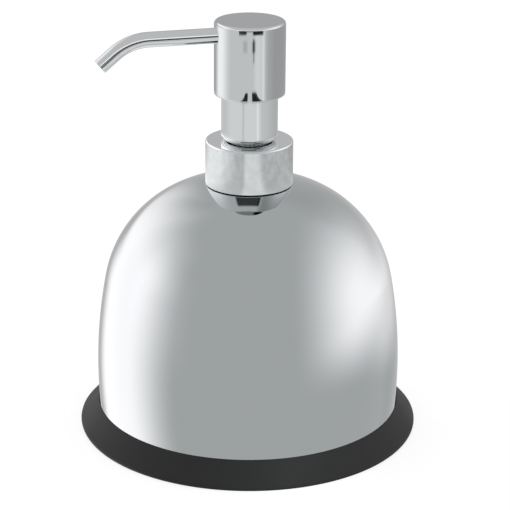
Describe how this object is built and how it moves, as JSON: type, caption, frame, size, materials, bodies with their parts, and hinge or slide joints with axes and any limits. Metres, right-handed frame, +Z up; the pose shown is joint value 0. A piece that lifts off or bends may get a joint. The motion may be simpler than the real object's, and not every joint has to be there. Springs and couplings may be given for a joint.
{
  "type": "pump soap dispenser",
  "caption": "Free-standing soap dispenser: polished domed bottle on a flared rubber ring, with a screw-on pump, a round push head and a long bent spout.",
  "frame": {"origin": "on the dome's axis, in the plane of the table that the rubber ring stands on", "axes": "+Z up along the axis of the dome, the neck and the pump; at rest the spout points to -X and its plane is the XZ plane"},
  "size_m": [0.123, 0.123, 0.15],
  "materials": {
    "chrome": "polished",
    "steel": "turned and drawn, satin",
    "rubber": "matte charcoal",
    "soft_seal": "matte grey",
    "white_plastic": "moulded, natural white",
    "grey_plastic": "moulded grey",
    "clear_plastic": "natural translucent"
  },
  "bodies": {
    "bottle": {"dome_shell": "chrome", "base_pan": "steel", "base_ring": "rubber", "neck_ring": "steel"},
    "gasket": {"neck_gasket": "soft_seal"},
    "pump": {"pump_housing": "clear_plastic", "chaplet": "white_plastic", "sleeve_shell": "chrome", "sleeve_bush": "grey_plastic", "dip_tube": "clear_plastic", "return_spring": "steel"},
    "collar": {"collar_shell": "chrome", "collar_insert": "grey_plastic"},
    "ball": {"inlet_ball": "steel"},
    "piston": {"piston_seal": "soft_seal"},
    "head": {"head_shell": "chrome", "actuator_core": "white_plastic", "spout_seal": "soft_seal", "spout_tube": "chrome", "stem": "white_plastic", "piston_rod": "white_plastic"}
  },
  "joints": [
    {"name": "pump_withdraw", "type": "slide", "parent": "bottle", "child": "gasket", "axis": [0, 0, 1], "range_m": [0, 0.095]},
    {"name": "pump_lift", "type": "slide", "parent": "gasket", "child": "pump", "axis": [0, 0, 1], "range_m": [0, 0.0064]},
    {"name": "collar_turn", "type": "hinge", "parent": "pump", "child": "collar", "pos_m": [0, 0, 0.099], "axis": [0, 0, 1], "range_deg": [0, 540]},
    {"name": "ball_lift", "type": "slide", "parent": "pump", "child": "ball", "axis": [0, 0, 1], "range_m": [0, 0.002]},
    {"name": "pump_stroke", "type": "slide", "parent": "pump", "child": "piston", "axis": [0, 0, 1], "range_m": [-0.014, 0], "stiffness_N_per_m": 400, "springref_m": 0.01, "deforming": ["return_spring"]},
    {"name": "head_swivel", "type": "hinge", "parent": "piston", "child": "head", "pos_m": [0, 0, 0.137], "axis": [0, 0, 1], "continuous": true}
  ],
  "couplings": [
    {"joint": "pump_lift", "follows": "collar_turn", "m_per_rad": 0.00066845}
  ]
}
